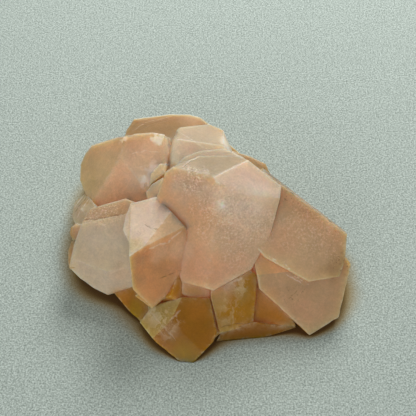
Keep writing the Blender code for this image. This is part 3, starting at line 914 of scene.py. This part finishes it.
    @staticmethod
    def _draw_lines(bm: bmesh.types.BMesh, lines: list[list[Vector]]) -> None:
        """Draw the lines into the tint and cut them into the surface.

        A line narrows towards its ends, swells and thins on its way, and is broken
        here and there.

        Args:
            bm: The fine mesh, which is changed.
            lines: The points along each line.
        """
        layer = bm.loops.layers.float_color["tint"]
        bm.normal_update()
        verts = vert_tree(bm)
        for line, points in zip(LINES, lines):
            colour = Vector(linear(line.tint.value))
            nearest = {}
            for number, point in enumerate(points):
                end = min(number, len(points) - 1 - number) / (0.25 * len(points))
                breadth = 0.7 + 0.5 * noise.noise(point / (1.1 * MM))
                width = line.width * MM * breadth * min(1.0, 0.4 + end)
                for _, index, away in verts.find_range(point, 1.6 * width):
                    share = 1.0 - fade(away / width, 0.5, 1.5)
                    nearest[index] = max(nearest.get(index, 0.0), share)
            for index, share in nearest.items():
                vert = bm.verts[index]
                share *= fade(noise.noise(vert.co / (0.8 * MM)) + 0.5, 0.0, 0.5)
                blend(vert, layer, colour, share * line.share)
                if line.depth > 0.0:
                    vert.co -= vert.normal * (line.depth * MM * share)

    def _weather(self, bm: bmesh.types.BMesh, ridges: kdtree.KDTree,
                 grooves: kdtree.KDTree, backs: list[float]) -> None:
        """Wear and chip the edges and wave the faces, within the solid's box.

        Each point also notes how near it is to a ridge, which gets a pale worn line
        and a painted highlight, to a groove, which gets painted light, and to a far
        rim, which gets painted shade. Ridges that turn to the back stay sharp.

        Args:
            bm: The fine mesh, which is changed.
            ridges: Points along the edges that stand out.
            grooves: Points along the edges that fold in.
            backs: For each point on a ridge, how much the ridge turns to the back.
        """
        ridge_highlight_layer = bm.verts.layers.float.new("ridge")
        groove_light_layer = bm.verts.layers.float.new("groove")
        rim_shade_layer = bm.verts.layers.float.new("rim")
        bm.normal_update()
        moved = {}
        near_edge = []
        for vert in bm.verts:
            _, nearest, to_ridge = ridges.find(vert.co)
            to_groove = grooves.find(vert.co)[2]
            # ridges get a pale worn line with a painted highlight
            vert[ridge_highlight_layer] = math.exp(-to_ridge / self.ridge_fade)
            # grooves get painted light that lifts their shade
            vert[groove_light_layer] = math.exp(-to_groove / self.groove_fade)
            # painted shade on far rims: high ridges that turn to the back, towards the back
            # lamp
            high = fade(vert.co.z, self.rim_from, self.rim_from + self.rim_rise)
            vert[rim_shade_layer] = math.exp(-to_ridge / self.rim_fade) * backs[nearest] * high
            if vert.co.z < self.foot:
                continue
            wave = 0.5 + 0.5 * noise.noise(vert.co / self.wave_size)
            depth = self.wave_depth * wave - self.swell
            if to_ridge < self.wear_width and backs[nearest] < 0.5:
                near_edge.append(vert)
                chip = noise.noise(vert.co / self.chip_size + Vector((7.0, 3.0, 1.0)))
                reach = 1.0 - to_ridge / self.wear_width
                depth += self.chip_depth * max(0.0, chip - 0.2) * reach
            moved[vert] = vert.co - vert.normal * depth
        least, most = CAD_BOX
        for vert, place in moved.items():
            vert.co = [min(max(place[i], least[i]), most[i]) for i in range(3)]
        bmesh.ops.smooth_vert(
            bm, verts=near_edge, factor=0.2,
            use_axis_x=True, use_axis_y=True, use_axis_z=True)

    @staticmethod
    def _soften(bm: bmesh.types.BMesh) -> None:
        """Round over the edges that aren't crisp, and blend the tint across them.

        Args:
            bm: The fine mesh, which is changed.
        """
        most_blending = 24
        layer = bm.loops.layers.float_color["tint"]
        tree = vert_tree(bm)
        for edge in SOFT_EDGES:
            start, end = Vector(edge.start) * MM, Vector(edge.end) * MM
            middle, radius = (start + end) / 2.0, (end - start).length / 2.0
            near = []
            for place, index, _ in tree.find_range(middle, radius + edge.reach * MM):
                foot, part = intersect_point_line(place, start, end)
                if part < 0.0 or part > 1.0:
                    foot = start if part < 0.0 else end
                if (place - foot).length < edge.reach * MM:
                    near.append(bm.verts[index])
            places = {vert: vert.co.copy() for vert in near}
            tints = {}
            for vert in near:
                found = [Vector(loop[layer]) for loop in vert.link_loops]
                tints[vert] = sum(found, Vector((0, 0, 0, 0))) / len(found)
            around = {vert: [e.other_vert(vert) for e in vert.link_edges] for vert in near}
            fixed = {
                other: other.co.copy() for others in around.values() for other in others
                if other not in places}
            relax(places, around, fixed, edge.rounds)
            relax(tints, around, {}, min(edge.rounds, most_blending))
            for vert in near:
                vert.co = places[vert]
                for loop in vert.link_loops:
                    loop[layer] = tints[vert]


@dataclass(frozen=True)
class Calcite:
    """Milky calcite with its faces as they grew, and etched by water in places.

    Attributes:
        scatter: How far red, green and blue light wander inside.
        gloss: Roughness of a clean face.
        etched: Roughness of an etched face.
        shine: How much of the full reflection the worn skin keeps.
        leaf: Width of a cleavage leaf, whose cells are laid in as pale flaws and as painted
            reflections.
        index: How strongly calcite bends light.
        ripple: Depth of the ripples in a clean face.
        pit: Depth of the pits in an etched face.
    """

    scatter: Place = (11.0 * MM, 7.2 * MM, 4.2 * MM)
    gloss: float = 0.30
    etched: float = 0.5
    shine: float = 0.2
    leaf: float = 1.7 * MM
    index: float = 1.6
    ripple: float = 0.10 * MM
    pit: float = 0.42 * MM

    def material(self) -> bpy.types.Material:
        """Build the calcite material.

        Returns:
            The new material.
        """
        # Milky calcite, grown, not polished: light sinks in and comes back warm and
        # soft, so thin edges glow and faces look waxy. Clean faces keep a low, satin
        # shine, and etched ones are dull and sandy.
        made = bpy.data.materials.new("milky_calcite")
        made.use_nodes = True
        tree = made.node_tree
        tree.nodes.clear()
        patterns = self._patterns(tree)
        marks = {
            name: add_node(tree, "ShaderNodeAttribute", attribute_name=name).outputs["Fac"]
            for name in ("ridge", "groove", "rim", *(effect.value for effect in Effect))
        }
        rough = add_node(tree, "ShaderNodeMapRange", {
            "Value": marks["etched"], "To Min": self.gloss, "To Max": self.etched})
        shader = add_node(tree, "ShaderNodeBsdfPrincipled", {
            "Base Color": self._surface(tree, patterns, marks),
            "Roughness": rough.outputs[0],
            "IOR": self.index,
            "Specular IOR Level": self.shine,
            "Subsurface Weight": 1.0,
            "Subsurface Radius": self.scatter,
            "Subsurface Scale": 1.0,
            "Normal": self._relief(tree, patterns, marks),
        })
        add_node(tree, "ShaderNodeOutputMaterial", {"Surface": shader.outputs[0]})
        return made

    def _patterns(self, tree: bpy.types.NodeTree) -> Sockets:
        """Make the noises and the cleavage leaves that the layers are cut from.

        Args:
            tree: The material's tree.

        Returns:
            The patterns' values by name.
        """
        place = add_node(tree, "ShaderNodeTexCoord").outputs["Object"]
        made = {
            name: add_node(tree, "ShaderNodeTexNoise", {
                "Vector": place, "Scale": 1.0 / (pattern.size * MM),
                "Detail": pattern.detail, "Roughness": pattern.roughness,
                "Distortion": pattern.twist}).outputs["Fac"]
            for name, pattern in PATTERNS.items()
        }
        leaves = add_node(tree, "ShaderNodeTexVoronoi", {
            "Vector": place, "Scale": 1.0 / self.leaf}, distance="MANHATTAN")
        made["leaf"] = add_node(tree, "ShaderNodeSeparateColor", {
            "Color": leaves.outputs["Color"]}).outputs[0]
        return made

    @staticmethod
    def _surface(tree: bpy.types.NodeTree, patterns: Sockets,
                 marks: Sockets) -> bpy.types.NodeSocket:
        """Cloud the stone's tint and lay the layers over it.

        Args:
            tree: The material's tree.
            patterns: The patterns' values by name.
            marks: The stone's own attributes by name.

        Returns:
            The finished colour.
        """
        lit = None
        for cloud in CLOUDS:
            part = add_node(tree, "ShaderNodeMapRange", {
                "Value": patterns[cloud.pattern], "From Min": cloud.low,
                "From Max": cloud.high, "To Min": cloud.darkest,
                "To Max": cloud.lightest}).outputs[0]
            lit = part if lit is None else add_node(
                tree, "ShaderNodeMath", {0: lit, 1: part}).outputs[0]
        tint = add_node(tree, "ShaderNodeAttribute", attribute_name="tint")
        colour = add_node(tree, "ShaderNodeVectorMath", {
            0: tint.outputs["Color"], "Scale": lit}, operation="SCALE").outputs[0]
        for layer in LAYERS:
            cut = add_node(tree, "ShaderNodeMapRange", {
                "Value": patterns[layer.pattern], "From Min": layer.low,
                "From Max": layer.high, "To Max": layer.share},
                interpolation_type="SMOOTHSTEP")
            mask = add_node(tree, "ShaderNodeMath", {
                0: cut.outputs[0], 1: marks[layer.mark]}, operation="MULTIPLY")
            colour = add_node(tree, "ShaderNodeMix", {
                "Factor": mask.outputs[0], 6: colour, 7: linear(layer.colour)},
                data_type="RGBA").outputs[2]
        return colour

    def _relief(self, tree: bpy.types.NodeTree, patterns: Sockets,
                marks: Sockets) -> bpy.types.NodeSocket:
        """Ripple the clean faces lightly and pit the etched ones.

        Args:
            tree: The material's tree.
            patterns: The patterns' values by name.
            marks: The stone's own attributes by name.

        Returns:
            The normal.
        """
        rippled = add_node(tree, "ShaderNodeBump", {
            "Height": patterns["peel"], "Distance": self.ripple, "Strength": 0.5})
        pitted = add_node(tree, "ShaderNodeMath", {
            0: patterns["grain"], 1: marks["etched"]}, operation="MULTIPLY")
        return add_node(tree, "ShaderNodeBump", {
            "Height": pitted.outputs[0], "Distance": self.pit, "Strength": 0.9,
            "Normal": rippled.outputs["Normal"]}).outputs["Normal"]


@dataclass(frozen=True)
class GrainedPaper:
    """Matt grey-green paper, pressed with a grain, with a painted warm shade beside the
    stone.

    Attributes:
        grain: Width of the grain.
        grain_depth: Depth of the grain.
        rough: Roughness.
        dip: Its colour in the grain's dips.
        crest: Its colour on the grain's crests.
        shade_reach: How far the painted warm shade reaches over the paper from the stone.
        shade_lean: The direction in which the stone stands before a shaded point.
        open_from: How open a point is where the shade begins.
        open_to: How open a point is where the shade is full.
        light_shade: The painted shade's colour where it is light.
        deep_shade: The painted shade's colour where it is deep.
    """

    grain: float = 0.5 * MM
    grain_depth: float = 0.12 * MM
    rough: float = 0.9
    dip: str = "#87938b"
    crest: str = "#d3dfd7"
    shade_reach: float = 13.0 * MM
    shade_lean: Place = (0.0, 0.77, 0.64)
    open_from: float = 0.80
    open_to: float = 0.46
    light_shade: str = "#a08850"
    deep_shade: str = "#4e2e00"

    def material(self) -> bpy.types.Material:
        """Build the paper's material.

        Returns:
            The new material.
        """
        # Uncoated paper: quite matt, with a fine, dry grain. Its fibres are some
        # hundredths of a millimetre thick, so the grain is drawn coarser, to show.
        # Beside the stone a warm shade is painted into the paper's colour, olive and
        # then umber, where an ambient occlusion that leans to the back finds the stone
        # close. It stands in for the stone's shadow, warmed by light through the stone.
        made = bpy.data.materials.new("grained_paper")
        made.use_nodes = True
        tree = made.node_tree
        tree.nodes.clear()
        place = add_node(tree, "ShaderNodeTexCoord").outputs["Object"]
        grit = add_node(tree, "ShaderNodeTexNoise", {
            "Vector": place, "Scale": 1.0 / self.grain, "Detail": 3.0,
            "Roughness": 0.7}).outputs["Fac"]
        tone = add_node(tree, "ShaderNodeMapRange", {
            "Value": grit, "From Min": 0.35, "From Max": 0.65})
        colour = add_node(tree, "ShaderNodeMix", {
            "Factor": tone.outputs[0], 6: linear(self.dip), 7: linear(self.crest)},
            data_type="RGBA").outputs[2]
        # painted shade: the paper turns olive and then umber where the stone stands close
        openness = add_node(tree, "ShaderNodeAmbientOcclusion", {
            "Distance": self.shade_reach, "Normal": self.shade_lean}, samples=16)
        shade = add_node(tree, "ShaderNodeMapRange", {
            "Value": openness.outputs["AO"], "From Min": self.open_from,
            "From Max": self.open_to, "To Max": 0.9}).outputs[0]
        for hue, low, high in ((self.light_shade, 0.0, 0.6), (self.deep_shade, 0.45, 0.95)):
            share = add_node(tree, "ShaderNodeMapRange", {
                "Value": shade, "From Min": low, "From Max": high})
            colour = add_node(tree, "ShaderNodeMix", {
                "Factor": share.outputs[0], 6: colour, 7: linear(hue)},
                data_type="RGBA").outputs[2]
        pressed = add_node(tree, "ShaderNodeBump", {
            "Height": grit, "Distance": self.grain_depth, "Strength": 0.6})
        shader = add_node(tree, "ShaderNodeBsdfPrincipled", {
            "Base Color": colour, "Roughness": self.rough,
            "Normal": pressed.outputs["Normal"]})
        add_node(tree, "ShaderNodeOutputMaterial", {"Surface": shader.outputs[0]})
        return made


@dataclass(frozen=True)
class Softbox:
    """A square lamp that points at the cluster.

    Attributes:
        name: Its name.
        place: Where it hangs.
        side: Its side.
        power: Its power in watts.
        aim: Height of the point that it looks at.
    """

    name: str
    place: Place
    side: float
    power: float
    aim: float = 20.0 * MM

    def hang(self) -> None:
        """Make the lamp, turned to the cluster."""
        data = bpy.data.lights.new(self.name, "AREA")
        data.shape = "SQUARE"
        data.size = self.side
        data.energy = self.power
        lamp = bpy.data.objects.new(self.name, data)
        lamp.location = self.place
        down = Vector((0.0, 0.0, self.aim)) - Vector(self.place)
        lamp.rotation_mode = "QUATERNION"
        lamp.rotation_quaternion = down.to_track_quat("-Z", "Y")
        bpy.context.scene.collection.objects.link(lamp)


@dataclass(frozen=True)
class PaperStage:
    """The sheet of paper that the cluster lies on, and the light round it.

    Attributes:
        width: Side of the sheet.
        drop: How far the sheet lies under the stone's flat base.
        room: Colour of the room.
        room_strength: How bright the room is.
        lamps: A low lamp behind the cluster, and a wide, weak one before it.
    """

    width: float = 3.0
    drop: float = 0.05 * MM
    room: str = "#f0f2f0"
    room_strength: float = 0.36
    lamps: tuple[Softbox, ...] = (
        Softbox("back_softbox", (0.10, 0.42, 0.37), 0.22, 2.5),
        Softbox("front_softbox", (-0.18, -0.55, 0.20), 0.5, 1.3),
    )

    def build(self, material: bpy.types.Material) -> None:
        """Make the sheet, the lamps and the soft surroundings.

        Args:
            material: What the sheet is made of.
        """
        bm = bmesh.new()
        bmesh.ops.create_grid(bm, x_segments=1, y_segments=1, size=self.width / 2.0)
        bmesh.ops.translate(bm, verts=bm.verts, vec=Vector((0.0, 0.0, -self.drop)))
        sheet = make_object("paper_sheet", bm)
        sheet.data.materials.append(material)
        for lamp in self.lamps:
            lamp.hang()
        self._surroundings()
        log.info("stage: sheet, %d softboxes and surroundings", len(self.lamps))

    def _surroundings(self) -> None:
        """Fill the room round the sheet with soft, even light."""
        world = bpy.data.worlds.new("soft_room")
        world.use_nodes = True
        background = world.node_tree.nodes["Background"]
        background.inputs["Color"].default_value = linear(self.room)
        background.inputs["Strength"].default_value = self.room_strength
        bpy.context.scene.world = world


@dataclass(frozen=True)
class Camera:
    """The camera that looks down on the cluster from the front.

    Attributes:
        target: The point that it looks at.
        elevation: Its height angle in degrees.
        distance: How far it stands from the target.
        half_width: Half of what it sees across the target.
    """

    target: Place = (-0.15 * MM, 5.57 * MM, 15.0 * MM)
    elevation: float = 52.0
    distance: float = 350.0 * MM
    half_width: float = 62.4 * MM

    def place(self) -> None:
        """Make the camera and use it for the scene."""
        data = bpy.data.cameras.new("camera")
        data.sensor_width = 36.0
        data.lens = 0.5 * data.sensor_width * self.distance / self.half_width
        data.clip_start = 0.01
        data.clip_end = 10.0
        camera = bpy.data.objects.new("camera", data)
        rise = math.radians(self.elevation)
        back = Vector((0.0, -math.cos(rise), math.sin(rise)))
        camera.location = Vector(self.target) + back * self.distance
        camera.rotation_mode = "QUATERNION"
        camera.rotation_quaternion = (-back).to_track_quat("-Z", "Y")
        bpy.context.scene.collection.objects.link(camera)
        bpy.context.scene.camera = camera
        log.info("camera: %.0f degrees up, lens %.1f mm", self.elevation, data.lens)


def main() -> None:
    """Build the camera, the stage and the stone, in that order."""
    logging.basicConfig(level=logging.INFO)
    bpy.context.scene.view_settings.view_transform = "Standard"
    Camera().place()
    PaperStage().build(GrainedPaper().material())
    stone = ClusterStone()
    stone.build()
    stone.dress(Calcite().material())


if __name__ == "__main__":
    main()
